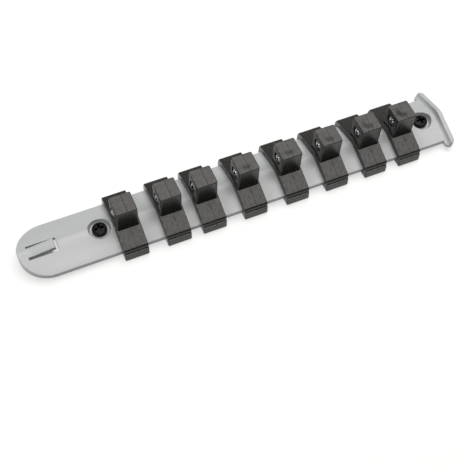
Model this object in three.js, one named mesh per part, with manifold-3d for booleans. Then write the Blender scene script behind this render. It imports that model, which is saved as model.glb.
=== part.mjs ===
// Socket rail for half-inch square-drive sockets: a long moulded rail with a shallow roof,
// eight sprung socket clips that slide along it, a spring stop at one end, a lipped head at
// the other, and two screwed feet that hold it clear of the bench.
// Millimetres. X runs along the rail towards its head, Y across it, Z up from the bench.
import * as THREE from 'three';
import { mergeVertices } from 'three/addons/utils/BufferGeometryUtils.js';
import Module from 'manifold-3d';

const wasm = await Module();
wasm.setup();

// The rail's plate
const railLength = 268;
const railWidth = 34;
const plateThickness = 2.5;
const ridgeRise = 5;
const crestHalfWidth = 2.4;

// The skirt that closes the plate's underside down to one level all round
const skirtWall = 2.2;

// The head: ears beyond the plate's sides, and the lip along its end, hollowed at its foot
const headLength = 5.6;
const earReach = 4.2;
const lipThickness = 3;
const lipHeight = 3.1;
const lipFootRadius = 2.2;
const lipEdgeRadius = 0.9;

// The two tapered seats for the foot screws, and the bosses under them
const leftHoleInset = 47.3;
const rightHoleInset = 13.3;
const seatRimDiameter = 13.2;
const seatFloorDiameter = 11.6;
const seatDepth = 3.6;
const bossWall = 1.6;

// The spring stop, cut free on three sides and set up at its tip
const stopRootInset = 5.4;
const stopLength = 15.6;
const stopWidth = 6;
const stopOffset = 0.7;
const stopRise = 1.9;
const slitWidth = 1.35;
const stopTipGap = 1.5;
const stopRootGap = 0.3;

// The feet, located by a spigot in each boss, and the screws that draw them up
const footDiameter = 16;
const footChamfer = 0.6;
const spigotDiameter = 8;
const spigotHeight = 1.8;
const spigotClearance = 0.15;
const screwHeadDiameter = 8.6;
const screwHeadHeight = 3.1;
const screwDomeHeight = 0.5;
const screwShankDiameter = 3.5;
const screwShankLength = 5;
const screwHoleClearance = 0.2;
const screwPilotClearance = 0.1;
const crossSpan = 5.4;
const crossWidth = 1.5;
const crossDepth = 1.7;
const seatGap = 0.05;

// The socket clips: a strap that straddles the rail, hooks under its edges, and a drive post
const runClearance = 0.35;
const benchClearance = 0.75;
const clipWidth = 14.6;
const strapOverEdge = 2.9;
const strapOverRidge = 5.4;
const shoulderRadius = 1.8;
const wallThickness = 2.5;
const hookThickness = 2;
const hookReach = 2.85;
const gripHeight = 4.8;
const gripLedge = 0.9;
const gripRamp = 0.3;
const gripFlare = 1.2;
const postSide = 12.7;
const postRise = 13;
const postOffset = 1.45;
const postCornerRadius = 0.6;
const postTopChamfer = 0.4;

// The detent: a ball held in its bore by a drawn-in throat, with a coil spring behind it
const ballDiameter = 5;
const ballBelowTop = 6.5;
const ballClearance = 0.09;
const throatDiameter = 4.5;
const throatDepth = 0.6;
const mouthDiameter = 6.8;
const mouthDepth = 0.5;
const boreDepth = 9;
const wireDiameter = 0.5;
const coilClearance = 0.35;
const coilTurns = 5;
const endCoilShare = 0.91;

// Where the clips stand: the first and the last from the rail's ends, the rest as shares between
const firstClipInset = 62.15;
const lastClipInset = 31.4;
const clipPlaceShares = [0, 0.147, 0.271, 0.4185, 0.572, 0.72, 0.868, 1];

const overrun = 1;
const crestShares = [-1, -0.5, 0, 0.5, 1];
const roundSegments = 32;
const smallSegments = 20;
const endSegments = 10;
const lipSteps = 3;
const shoulderSteps = 3;
const cornerSegments = 2;
const domeSteps = 3;
const coilSteps = 8;
const wireSegments = 3;
const boreSegments = 16;
const ballSegments = 14;
const ballRings = 8;

// Heights and places that follow from the sizes above
const standOff = runClearance + hookThickness + benchClearance;
const edgeTop = standOff + plateThickness;
const halfWidth = railWidth / 2;
const roofSlope = ridgeRise / halfWidth;
const crestLoss = roofSlope * crestHalfWidth / 2;
const ridgeTop = edgeTop + ridgeRise - crestLoss;
const leftEnd = -railLength / 2;
const rightEnd = railLength / 2;
const headReach = halfWidth + earReach;
const seatFloor = ridgeTop - seatDepth;
const holePlaces = { left: leftEnd + leftHoleInset, right: rightEnd - rightHoleInset };
const ballRadius = ballDiameter / 2;

const materials = {
  rail: { color: 0xc3c5c7, roughness: 0.45, metalness: 0.1 },
  clip: { color: 0x2b2b29, roughness: 0.5, metalness: 0 },
  steel: { color: 0xd9dadb, roughness: 0.12, metalness: 1 },
  wire: { color: 0x9c9ea0, roughness: 0.3, metalness: 1 },
  foot: { color: 0x161616, roughness: 0.7, metalness: 0 },
  screw: { color: 0x1d1d1f, roughness: 0.35, metalness: 0.8 },
};

// Three.js geometry to an exact solid and back
function solidOf(geometry) {
  const bare = geometry.clone();
  bare.deleteAttribute('normal');
  bare.deleteAttribute('uv');
  const merged = mergeVertices(bare);
  const vertProperties = new Float32Array(merged.attributes.position.array);
  const triVerts = new Uint32Array(merged.index.array);
  return new wasm.Manifold(new wasm.Mesh({ numProp: 3, vertProperties, triVerts }));
}

function geometryOf(solid) {
  const mesh = solid.getMesh();
  const geometry = new THREE.BufferGeometry();
  geometry.setAttribute('position', new THREE.BufferAttribute(new Float32Array(mesh.vertProperties), 3));
  geometry.setIndex(new THREE.BufferAttribute(new Uint32Array(mesh.triVerts), 1));
  geometry.computeVertexNormals();
  return geometry;
}

// A section drawn in Y and Z, run along X from one place to another
function alongX(points, from, to) {
  const geometry = new THREE.ExtrudeGeometry(new THREE.Shape(points), {
    depth: to - from, bevelEnabled: false, curveSegments: smallSegments,
  });
  const turn = new THREE.Matrix4().makeBasis(
    new THREE.Vector3(0, 1, 0), new THREE.Vector3(0, 0, 1), new THREE.Vector3(1, 0, 0));
  geometry.applyMatrix4(turn);
  geometry.translate(from, 0, 0);
  return solidOf(geometry);
}

// An outline drawn in X and Y, raised from one height to another
function upright(shape, from, to, curveSegments = smallSegments) {
  const geometry = new THREE.ExtrudeGeometry(shape, {
    depth: to - from, bevelEnabled: false, curveSegments,
  });
  geometry.translate(0, 0, from);
  return solidOf(geometry);
}

function rectangle(x0, x1, y0, y1) {
  return new THREE.Shape([
    new THREE.Vector2(x0, y0), new THREE.Vector2(x1, y0),
    new THREE.Vector2(x1, y1), new THREE.Vector2(x0, y1),
  ]);
}

function roundedRectangle(x0, x1, y0, y1, r) {
  const shape = new THREE.Shape();
  shape.absarc(x1 - r, y0 + r, r, -Math.PI / 2, 0, false);
  shape.absarc(x1 - r, y1 - r, r, 0, Math.PI / 2, false);
  shape.absarc(x0 + r, y1 - r, r, Math.PI / 2, Math.PI, false);
  shape.absarc(x0 + r, y0 + r, r, Math.PI, 1.5 * Math.PI, false);
  return shape;
}

// A turned piece from pairs of radius and height, standing on Z at a place
function turned(profile, x, segments) {
  const points = profile.map(([r, z]) => new THREE.Vector2(r, z));
  const geometry = new THREE.LatheGeometry(points, segments);
  geometry.rotateX(Math.PI / 2);
  geometry.translate(x, 0, 0);
  return solidOf(geometry);
}

function cylinder(x, radius, from, to, segments = roundSegments) {
  return turned([[0, from], [radius, from], [radius, to], [0, to]], x, segments);
}

// The roof: two even slopes that meet in a softly rounded crest
function roofHeight(y) {
  const out = Math.abs(y);
  if (out > crestHalfWidth) {
    return edgeTop + roofSlope * (halfWidth - out);
  }
  const drop = roofSlope * (out * out) / (2 * crestHalfWidth);
  return ridgeTop - drop;
}

function roofLine(reach, lift) {
  const crest = crestShares.map((share) => share * crestHalfWidth);
  return [-reach, ...crest, reach].map((y) => new THREE.Vector2(y, roofHeight(y) + lift));
}

// The slab between two copies of the roof line
function roofSlab(reach, bottomLift, topLift, from, to) {
  const bottom = roofLine(reach, bottomLift);
  const top = roofLine(reach, topLift).reverse();
  return alongX([...bottom, ...top], from, to);
}

// The rail, seen from above: a round end, straight sides and a head with round ears
function railOutline() {
  const earRadius = headLength / 2;
  const shape = new THREE.Shape();
  shape.moveTo(leftEnd + halfWidth, -halfWidth);
  shape.lineTo(rightEnd - headLength, -halfWidth);
  shape.lineTo(rightEnd - headLength, -headReach + earRadius);
  shape.absarc(rightEnd - earRadius, -headReach + earRadius, earRadius, Math.PI, 2 * Math.PI, false);
  shape.lineTo(rightEnd, headReach - earRadius);
  shape.absarc(rightEnd - earRadius, headReach - earRadius, earRadius, 0, Math.PI, false);
  shape.lineTo(rightEnd - headLength, halfWidth);
  shape.lineTo(leftEnd + halfWidth, halfWidth);
  shape.absarc(leftEnd + halfWidth, 0, halfWidth, Math.PI / 2, 1.5 * Math.PI, false);
  return shape;
}

// All that lies between the rail's lowest level and a copy of the roof line
function underRoof(reach, lift, from, to, bottom) {
  return alongX([
    ...roofLine(reach, lift).reverse(),
    new THREE.Vector2(-reach, bottom), new THREE.Vector2(reach, bottom),
  ], from, to);
}

// The hollow under the plate, inside the skirt
function cavitySolid() {
  const inside = halfWidth - skirtWall;
  const shape = new THREE.Shape();
  shape.moveTo(leftEnd + halfWidth, -inside);
  shape.lineTo(rightEnd - skirtWall, -inside);
  shape.lineTo(rightEnd - skirtWall, inside);
  shape.lineTo(leftEnd + halfWidth, inside);
  shape.absarc(leftEnd + halfWidth, 0, inside, Math.PI / 2, 1.5 * Math.PI, false);
  const room = upright(shape, standOff - overrun, ridgeTop, endSegments);
  const roof = underRoof(halfWidth, -plateThickness, leftEnd, rightEnd, standOff - 2 * overrun);
  return room.intersect(roof);
}

// The lip's profile as distances in from the rail's end and rises over the roof: up the hollow
// of its foot, round its inner edge, over the top and round its outer edge
function lipProfile() {
  const hollow = [];
  const inner = [];
  const outer = [];
  for (let step = 0; step <= lipSteps; step += 1) {
    const angle = (Math.PI / 2) * (step / lipSteps);
    const run = 1 - Math.cos(angle);
    const rest = 1 - Math.sin(angle);
    hollow.push([lipThickness + lipFootRadius * rest, lipFootRadius * run]);
    inner.push([lipThickness - lipEdgeRadius * run, lipHeight - lipEdgeRadius * rest]);
    outer.push([lipEdgeRadius * rest, lipHeight - lipEdgeRadius * run]);
  }
  return [...hollow, ...inner, ...outer];
}

// All that lies under the roof line at one place of that profile, eased down at both ears
function lipSection([inset, rise]) {
  const eased = headReach - lipEdgeRadius;
  const line = roofLine(eased, rise);
  const side = roofHeight(headReach) + rise - lipEdgeRadius;
  const corners = [side, 0].flatMap((z) => [[-headReach, z], [headReach, z]]);
  return [...line.map((point) => [point.x, point.y]), ...corners].map(
    ([y, z]) => [rightEnd - inset, y, z]);
}

// The lip, one convex piece between each two places; the rail's own outline trims its ends
function lipSolid() {
  const sections = lipProfile().map(lipSection);
  const pieces = sections.slice(1).map(
    (section, index) => wasm.Manifold.hull([...sections[index], ...section]));
  return wasm.Manifold.union(pieces);
}

// The opening round the spring stop
function stopOpening() {
  const root = leftEnd + stopRootInset;
  const side = stopWidth / 2 + slitWidth;
  return upright(
    rectangle(root, root + stopLength + stopTipGap, -stopOffset - side, -stopOffset + side),
    standOff - overrun, ridgeTop + overrun);
}

// The tapered seat, the screw's hole through its floor and the spigot's recess below
function seatCutter(x) {
  const rim = seatRimDiameter / 2;
  const floor = seatFloorDiameter / 2;
  const flare = (rim - floor) / seatDepth;
  const hole = screwShankDiameter / 2 + screwHoleClearance;
  const recess = spigotDiameter / 2 + spigotClearance;
  const recessTop = standOff + spigotHeight + spigotClearance;
  return turned([
    [0, standOff - overrun],
    [recess, standOff - overrun],
    [recess, recessTop],
    [hole, recessTop],
    [hole, seatFloor],
    [floor, seatFloor],
    [rim + flare * overrun, ridgeTop + overrun],
    [0, ridgeTop + overrun],
  ], x, roundSegments);
}

function bossSolid(x) {
  const radius = seatRimDiameter / 2 + bossWall;
  const below = underRoof(
    halfWidth, -plateThickness / 2, x - radius - overrun, x + radius + overrun, standOff - overrun);
  return cylinder(x, radius, standOff, ridgeTop).intersect(below);
}

function railSolid() {
  const outline = upright(railOutline(), standOff, ridgeTop + lipHeight + overrun, endSegments);
  const block = underRoof(headReach + overrun, 0, leftEnd - overrun, rightEnd + overrun, 0);
  let rail = block.add(lipSolid()).intersect(outline).subtract(cavitySolid());
  for (const x of Object.values(holePlaces)) {
    rail = rail.add(bossSolid(x)).subtract(seatCutter(x));
  }
  return rail.subtract(stopOpening());
}

// The spring stop, drawn flat from its root, with the rail's own roof section
function stopSolid() {
  const half = stopWidth / 2;
  const plate = roofSlab(halfWidth, -plateThickness, 0, stopRootGap, stopLength);
  const outline = upright(
    rectangle(0, stopLength, -stopOffset - half, -stopOffset + half), 0, ridgeTop + overrun);
  return plate.intersect(outline);
}

// A foot: a round pad under the boss, with a spigot up into it and a pilot for the screw
function footSolid() {
  const pad = footDiameter / 2;
  const padTop = standOff - seatGap;
  const spigot = spigotDiameter / 2;
  const spigotTop = standOff + spigotHeight;
  const pilot = screwShankDiameter / 2 + screwPilotClearance;
  const pilotFloor = seatFloor - screwShankLength - screwPilotClearance;
  return turned([
    [0, 0],
    [pad - footChamfer, 0],
    [pad, footChamfer],
    [pad, padTop],
    [spigot, padTop],
    [spigot, spigotTop],
    [pilot, spigotTop],
    [pilot, pilotFloor],
    [0, pilotFloor],
  ], 0, roundSegments);
}

// The foot's screw: a domed pan head with a cross recess, and its shank down into the foot
function screwSolid() {
  const head = screwHeadDiameter / 2;
  const headBottom = seatFloor + seatGap;
  const headTop = seatFloor + screwHeadHeight;
  const shank = screwShankDiameter / 2;
  const tip = seatFloor - screwShankLength;
  const dome = [];
  for (let step = 0; step < domeSteps; step += 1) {
    const angle = step / domeSteps * Math.PI / 2;
    dome.push([head * Math.cos(angle), headTop - screwDomeHeight * (1 - Math.sin(angle))]);
  }
  dome.push([0, headTop]);
  const body = turned([
    [0, tip],
    [shank / 2, tip],
    [shank, tip + shank / 2],
    [shank, headBottom],
    [head, headBottom],
    ...dome,
  ], 0, smallSegments);
  const long = crossSpan / 2;
  const thin = crossWidth / 2;
  const slotFloor = headTop - crossDepth;
  const slotTop = headTop + overrun;
  const slotX = upright(rectangle(-long, long, -thin, thin), slotFloor, slotTop);
  const slotY = upright(rectangle(-thin, thin, -long, long), slotFloor, slotTop);
  return body.subtract(slotX.add(slotY));
}

// Half of the clip's section, from the hook's tip round the outside to the strap's ridge
function clipOutside() {
  const innerWall = halfWidth + runClearance;
  const outerWall = innerWall + wallThickness;
  const bottom = standOff - runClearance - hookThickness;
  const edgeHeight = edgeTop + strapOverEdge;
  const middle = ridgeTop + strapOverRidge;
  const turn = Math.PI / 2 - Math.atan((middle - edgeHeight) / outerWall);
  const shoulderHeight = edgeHeight - shoulderRadius * Math.tan(turn / 2);
  const shoulder = [];
  for (let step = 0; step <= shoulderSteps; step += 1) {
    const angle = turn * (step / shoulderSteps);
    shoulder.push([
      outerWall - shoulderRadius * (1 - Math.cos(angle)),
      shoulderHeight + shoulderRadius * Math.sin(angle),
    ]);
  }
  return [
    [outerWall + gripFlare, bottom],
    [outerWall + gripLedge, bottom + gripHeight],
    [outerWall, bottom + gripHeight + gripRamp],
    ...shoulder,
    [0, middle],
  ];
}

// The clip's section: strap over the roof, walls down both edges, hooks beneath
function clipSection() {
  const innerWall = halfWidth + runClearance;
  const hookTop = standOff - runClearance;
  const hookTip = innerWall - hookReach;
  const bottom = hookTop - hookThickness;
  const outside = clipOutside();
  const far = outside.map(([y, z]) => new THREE.Vector2(y, z));
  const near = outside.slice(0, -1).reverse().map(([y, z]) => new THREE.Vector2(-y, z));
  const lead = runClearance;
  const nearHook = [
    new THREE.Vector2(-hookTip, bottom),
    new THREE.Vector2(-hookTip, hookTop - lead),
    new THREE.Vector2(-hookTip - lead, hookTop),
    new THREE.Vector2(-innerWall, hookTop),
  ];
  const farHook = nearHook.map((point) => new THREE.Vector2(-point.x, point.y)).reverse();
  const under = roofLine(halfWidth, runClearance);
  under[0].x = -innerWall;
  under[under.length - 1].x = innerWall;
  return [...far, ...near, ...nearHook, ...under, ...farHook];
}

// The detent's bore, cut into the post's near side and lying along X
function boreCutter(faceX, y, z) {
  const mouth = mouthDiameter / 2;
  const throat = throatDiameter / 2;
  const bore = ballRadius + ballClearance;
  const flare = (mouth - throat) / mouthDepth;
  const points = [
    [0, -overrun],
    [mouth + flare * overrun, -overrun],
    [throat, mouthDepth],
    [throat, throatDepth],
    [bore, throatDepth + bore - throat],
    [bore, boreDepth],
    [0, boreDepth],
  ].map(([r, x]) => new THREE.Vector2(r, x));
  const geometry = new THREE.LatheGeometry(points, boreSegments);
  geometry.rotateZ(-Math.PI / 2);
  geometry.translate(faceX, y, z);
  return solidOf(geometry);
}

const postTop = ridgeTop + strapOverRidge + postRise;
const ballHeight = postTop - ballBelowTop;
const throatReach = Math.sqrt(ballRadius ** 2 - (throatDiameter / 2) ** 2);
const ballInset = throatDepth + throatReach + seatGap;

// The post: a square drive with rounded corners and an eased top
function postSolid() {
  const half = postSide / 2;
  const start = roofHeight(postSide) + runClearance + overrun;
  const outline = roundedRectangle(
    -half + postTopChamfer, half - postTopChamfer,
    -half + postTopChamfer, half - postTopChamfer, postCornerRadius);
  const geometry = new THREE.ExtrudeGeometry(outline, {
    depth: postTop - start - 2 * postTopChamfer,
    bevelEnabled: true,
    bevelThickness: postTopChamfer,
    bevelSize: postTopChamfer,
    bevelSegments: 1,
    curveSegments: cornerSegments,
  });
  geometry.translate(0, -postOffset, start + postTopChamfer);
  return solidOf(geometry);
}

function clipSolid() {
  const section = clipSection();
  const strap = alongX(section, -clipWidth / 2, clipWidth / 2);
  const channel = underRoof(halfWidth, runClearance, -clipWidth, clipWidth, 0);
  const post = postSolid().subtract(channel);
  return strap.add(post).subtract(boreCutter(-postSide / 2, -postOffset, ballHeight));
}

// The detent spring: closed end coils and an open middle, as one round wire
class CoilPath extends THREE.Curve {
  constructor(radius, length, turns) {
    super();
    this.radius = radius;
    this.length = length;
    this.turns = turns;
  }

  getPoint(t, target = new THREE.Vector3()) {
    const angle = 2 * Math.PI * this.turns * t;
    const eased = t - endCoilShare * Math.sin(2 * Math.PI * t) / (2 * Math.PI);
    return target.set(this.length * eased, this.radius * Math.cos(angle), this.radius * Math.sin(angle));
  }
}

const coilRadius = ballRadius + ballClearance - coilClearance - wireDiameter / 2;
const wireToBall = ballRadius + wireDiameter / 2 + seatGap;
const springStart = ballInset + Math.sqrt(wireToBall ** 2 - coilRadius ** 2);
const springEnd = boreDepth - wireDiameter / 2 - seatGap;

function springGeometry() {
  const wire = new THREE.Shape();
  wire.absarc(0, 0, wireDiameter / 2, 0, 2 * Math.PI, false);
  return new THREE.ExtrudeGeometry(wire, {
    steps: coilTurns * coilSteps,
    curveSegments: wireSegments,
    bevelEnabled: false,
    extrudePath: new CoilPath(coilRadius, springEnd - springStart, coilTurns),
  });
}

function ballGeometry() {
  const geometry = new THREE.SphereGeometry(ballRadius, ballSegments, ballRings);
  geometry.rotateZ(Math.PI / 2);
  return geometry;
}

function piece(name, geometry, finish) {
  const mesh = new THREE.Mesh(geometry, new THREE.MeshStandardMaterial(materials[finish]));
  mesh.name = name;
  return mesh;
}

const socketRail = new THREE.Group();
socketRail.add(piece('rail', geometryOf(railSolid()), 'rail'));

// The stop turns about the middle of the plate at its root, tip up
const stopPivot = new THREE.Group();
const stopAxisHeight = ridgeTop - plateThickness / 2;
stopPivot.position.set(leftEnd + stopRootInset, 0, stopAxisHeight);
stopPivot.rotation.y = -Math.asin(stopRise / stopLength);
const stopTab = piece('stop_tab', geometryOf(stopSolid()), 'rail');
stopTab.position.z = -stopAxisHeight;
stopPivot.add(stopTab);
socketRail.add(stopPivot);

for (const [side, x] of Object.entries(holePlaces)) {
  const foot = piece(`foot_${side}`, geometryOf(footSolid()), 'foot');
  const screw = piece(`foot_screw_${side}`, geometryOf(screwSolid()), 'screw');
  foot.position.x = x;
  screw.position.x = x;
  socketRail.add(foot, screw);
}

const clipShape = geometryOf(clipSolid());
const firstClip = leftEnd + firstClipInset;
const lastClip = rightEnd - lastClipInset;
clipPlaceShares.forEach((share, index) => {
  const number = index + 1;
  const place = new THREE.Group();
  place.position.x = firstClip + share * (lastClip - firstClip);
  const clip = piece(`clip_${number}`, clipShape, 'clip');
  const ball = piece(`clip_ball_${number}`, ballGeometry(), 'steel');
  const spring = piece(`clip_spring_${number}`, springGeometry(), 'wire');
  ball.position.set(-postSide / 2 + ballInset, -postOffset, ballHeight);
  spring.position.set(-postSide / 2 + springStart, -postOffset, ballHeight);
  place.add(clip, ball, spring);
  socketRail.add(place);
});

export default socketRail;
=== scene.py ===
from collections import namedtuple
from math import acos, asin, cos, inf, pi, radians, sin, sqrt, tan

import bpy
from mathutils import Matrix, Vector
from mathutils.geometry import delaunay_2d_cdt


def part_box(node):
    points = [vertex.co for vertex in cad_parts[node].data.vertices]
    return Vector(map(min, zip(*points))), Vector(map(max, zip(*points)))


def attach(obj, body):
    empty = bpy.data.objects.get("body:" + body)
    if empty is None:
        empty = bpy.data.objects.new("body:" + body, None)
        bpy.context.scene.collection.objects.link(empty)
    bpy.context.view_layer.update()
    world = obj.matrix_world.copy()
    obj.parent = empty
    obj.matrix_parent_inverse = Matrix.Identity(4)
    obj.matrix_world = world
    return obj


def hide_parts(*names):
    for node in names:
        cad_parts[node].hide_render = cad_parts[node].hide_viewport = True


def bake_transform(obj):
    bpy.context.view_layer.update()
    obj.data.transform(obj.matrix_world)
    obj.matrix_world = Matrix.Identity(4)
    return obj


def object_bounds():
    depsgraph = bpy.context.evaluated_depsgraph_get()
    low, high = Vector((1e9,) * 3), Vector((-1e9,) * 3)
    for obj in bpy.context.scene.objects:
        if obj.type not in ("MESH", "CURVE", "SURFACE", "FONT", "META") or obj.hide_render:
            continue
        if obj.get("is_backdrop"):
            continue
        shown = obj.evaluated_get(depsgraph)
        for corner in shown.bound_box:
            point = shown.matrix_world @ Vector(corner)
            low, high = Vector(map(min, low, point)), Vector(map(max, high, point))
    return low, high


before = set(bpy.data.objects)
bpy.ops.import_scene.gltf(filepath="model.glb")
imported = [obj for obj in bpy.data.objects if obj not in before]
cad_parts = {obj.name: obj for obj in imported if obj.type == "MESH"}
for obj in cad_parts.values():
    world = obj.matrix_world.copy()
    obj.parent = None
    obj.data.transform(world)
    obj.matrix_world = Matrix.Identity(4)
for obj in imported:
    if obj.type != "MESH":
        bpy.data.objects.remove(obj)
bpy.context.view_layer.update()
mm = 0.001


# Camera
# It stands above the rail's front left, where the photograph was taken from, with a long lens
# and a slight roll.
lens_mm = 65.43
sensor_mm = 36
eye = Vector((-127.4, -248.8, 424.0)) * mm
azimuth = radians(-26.88)
elevation = radians(59.68)
roll = radians(4.26)


def placed(name, data):
    """A new object, put in the scene."""
    obj = bpy.data.objects.new(name, data)
    bpy.context.scene.collection.objects.link(obj)
    return obj


camera_data = bpy.data.cameras.new("camera")
camera_data.lens = lens_mm
camera_data.sensor_width = sensor_mm
camera_data.clip_start = 10 * mm
camera_data.clip_end = 10
camera = placed("camera", camera_data)
turn = Matrix.Rotation(azimuth, 4, "Z") @ Matrix.Rotation(pi / 2 - elevation, 4, "X")
camera.matrix_world = Matrix.Translation(eye) @ turn @ Matrix.Rotation(roll, 4, "Z")
bpy.context.scene.camera = camera
bpy.context.scene.view_settings.view_transform = "Standard"


# Rail
# One moulding in silver-grey plastic, 2.5 mm thick at its edges, with a shallow roof, a round
# end, a skirt below, two tapered screw seats in bosses, and a head closed by a raised lip.
rail_low, rail_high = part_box("rail")
left_end = rail_low.x
right_end = rail_high.x
stand_off = rail_low.z
half_width = 17 * mm
plate_thickness = 2.5 * mm
ridge_rise = 5 * mm
crest_half_width = 2.4 * mm
skirt_wall = 2.2 * mm
head_length = 5.6 * mm
lip_thickness = 3 * mm
lip_foot_radius = 2.2 * mm
lip_edge_radius = 0.9 * mm
lip_sink = 0.02 * mm
ear_reach = rail_high.y
left_seat_inset = 47.3 * mm
right_seat_inset = 13.3 * mm
seat_places = {"left": left_end + left_seat_inset, "right": right_end - right_seat_inset}
seat_rim_radius = 6.6 * mm
seat_floor_radius = 5.8 * mm
seat_depth = 3.6 * mm
seat_fillet = 0.5 * mm
boss_radius = 8.2 * mm
edge_rounding = 0.45 * mm
rim_rounding = 0.4 * mm
slit_rounding = 0.25 * mm
end_corner = 0.6 * mm
rounding_steps = 4
stop_root_inset = 5.4 * mm
stop_middle = -0.7 * mm
stop_half_width = 3 * mm
slit_width = 1.35 * mm
opening_length = 17.1 * mm
opening_corner = 0.5 * mm

edge_top = stand_off + plate_thickness
slope = ridge_rise / half_width
ridge_top = edge_top + ridge_rise - slope * crest_half_width / 2
seat_floor = ridge_top - seat_depth
stop_root = left_end + stop_root_inset
opening_end = stop_root + opening_length
crest_levels = [step / 4 * crest_half_width for step in range(-4, 5)]

# Points of a surface, in millimetres, that lie closer together than this count as one
same_place = 0.001

# A point of an outline seen from above: its place, the way its rounding draws back, the way
# that its wall faces, and the radius of its rounding
EdgePoint = namedtuple("EdgePoint", "x y draw_x draw_y face_x face_y radius")


class Skin:
    """A closed surface made ring by ring, with a normal kept for each corner."""

    def __init__(self):
        self.points = []
        self.normals = []
        self.faces = []

    def ring(self, points, normals):
        """Adds a ring of points with the ways that they face, and gives back their numbers."""
        first = len(self.points)
        self.points.extend(Vector(point) for point in points)
        self.normals.extend(Vector(normal).normalized() for normal in normals)
        return list(range(first, len(self.points)))

    def bridge(self, low, high, skip=()):
        """Joins two rings by faces with four corners, leaving out those that are to be skipped."""
        for i in range(len(low)):
            if i not in skip:
                j = (i + 1) % len(low)
                self.faces.append((low[i], low[j], high[j], high[i]))

    def chain(self, rings):
        """Bridges each ring to the next one."""
        for low, high in zip(rings, rings[1:]):
            self.bridge(low, high)

    def cap(self, ring, normal, across=(0, 1), flip=False):
        """Fills a ring with a flat face whose edge is sharp."""
        edge = self.ring([self.points[i] for i in ring], [normal] * len(ring))
        self.fill([edge], (), across, flip)

    def fill(self, rings, levels=(), across=(0, 1), flip=False):
        """Fills the area within the first ring and outside the others. Along each level that is
        given an edge joins the rings' points, and across names the axes that the rings lie in."""
        flat = []
        owners = []
        edges = []
        for ring in rings:
            first = len(flat)
            flat.extend(Vector([self.points[i][axis] / mm for axis in across]) for i in ring)
            owners.extend(ring)
            edges.extend((first + k, first + (k + 1) % len(ring)) for k in range(len(ring)))
        for level in levels:
            met = sorted((point.x, i) for i, point in enumerate(flat)
                         if abs(point.y - level / mm) < same_place)
            edges.extend((a[1], b[1]) for a, b in zip(met[::2], met[1::2]))
        outlines = [[self.points[i] for i in ring] for ring in rings]
        spots, _, triangles, origins, _, _ = delaunay_2d_cdt(flat, edges, [], 0, same_place / 10)
        for triangle in triangles:
            middle = sum((spots[i] for i in triangle), Vector((0, 0))) * (mm / 3)
            if not within(middle, outlines[0], across):
                continue
            if any(within(middle, hole, across) for hole in outlines[1:]):
                continue
            if sliver(*(spots[i] for i in triangle)):
                continue
            corners = [owners[origins[i][0]] for i in triangle]
            self.faces.append(tuple(reversed(corners)) if flip else tuple(corners))

    def piece(self, name, material, move=Vector((0, 0, 0))):
        """Makes the object, welding points that share a place and leaving out empty faces."""
        numbers = {}
        places = []
        own = []
        for point in self.points:
            key = tuple(round(value / mm, 3) for value in point)
            if key not in numbers:
                numbers[key] = len(places)
                places.append(point + move)
            own.append(numbers[key])
        faces = []
        corner_normals = []
        for face in self.faces:
            kept = [i for k, i in enumerate(face) if own[i] != own[face[k - 1]]]
            if len(set(own[i] for i in kept)) > 2:
                faces.append([own[i] for i in kept])
                corner_normals.extend(self.normals[i] for i in kept)
        mesh = bpy.data.meshes.new(name)
        mesh.from_pydata(places, [], faces)
        mesh.polygons.foreach_set("use_smooth", [True] * len(mesh.polygons))
        mesh.normals_split_custom_set(corner_normals)
        mesh.materials.append(material)
        return placed(name, mesh)


def sliver(a, b, c):
    """Whether three corners, in millimetres, lie so nearly on a line that no face is needed."""
    longest = max((b - a).length, (c - b).length, (a - c).length)
    return abs((b - a).cross(c - a)) < same_place * longest


def within(point, outline, across):
    """Whether a flat point lies inside an outline."""
    a, b = across
    odd = False
    for k, corner in enumerate(outline):
        before = outline[k - 1]
        if (corner[b] > point.y) != (before[b] > point.y):
            share = (point.y - corner[b]) / (before[b] - corner[b])
            if point.x < corner[a] + share * (before[a] - corner[a]):
                odd = not odd
    return odd


def roof(y):
    """The height of the rail's top at a distance from its middle."""
    out = abs(y)
    if out > crest_half_width:
        return edge_top + slope * (half_width - out)
    return ridge_top - slope * out * out / (2 * crest_half_width)


def roof_normal(y):
    """The way that the rail's top faces there."""
    tilt = max(-1, min(1, y / crest_half_width)) * slope
    return Vector((0, tilt, 1)).normalized()


def arc(x, y, radius, start, end, steps, rounding, side=1):
    """Part of an outline, round a centre. Side is -1 where the air is towards the centre."""
    points = []
    for step in range(steps + 1):
        angle = radians(start + (end - start) * step / steps)
        face_x, face_y = side * cos(angle), side * sin(angle)
        points.append(EdgePoint(
            x + radius * cos(angle), y + radius * sin(angle),
            face_x * rounding, face_y * rounding, face_x, face_y, rounding))
    return points


def with_crest_points(outline):
    """The outline with a point wherever its drawn-back line meets a crest level."""
    made = []
    for k, point in enumerate(outline):
        after = outline[(k + 1) % len(outline)]
        made.append(point)
        start, end = point.y - point.draw_y, after.y - after.draw_y
        shares = [(level - start) / (end - start) for level in crest_levels
                  if min(start, end) + 1e-8 < level < max(start, end) - 1e-8]
        for share in sorted(shares):
            made.append(EdgePoint(*(a + share * (b - a) for a, b in zip(point, after))))
    return made


def quarter_angles(steps):
    """Angles from nought to a right angle, evenly spaced."""
    return [pi / 2 * step / steps for step in range(steps + 1)]


def rounded_rings(skin, outline, tilt=0):
    """Rings that round an outline's wall over into the roof, from the wall up."""
    rings = []
    for angle in quarter_angles(rounding_steps):
        points = []
        normals = []
        for p in outline:
            x = p.x - p.draw_x * (1 - cos(angle))
            y = p.y - p.draw_y * (1 - cos(angle))
            points.append((x, y, roof(y) - p.radius * (1 - sin(angle))))
            wall = Vector((p.face_x, p.face_y, tilt)).normalized()
            normals.append(wall * cos(angle) + roof_normal(y) * sin(angle))
        rings.append(skin.ring(points, normals))
    skin.chain(rings)
    return rings


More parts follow.
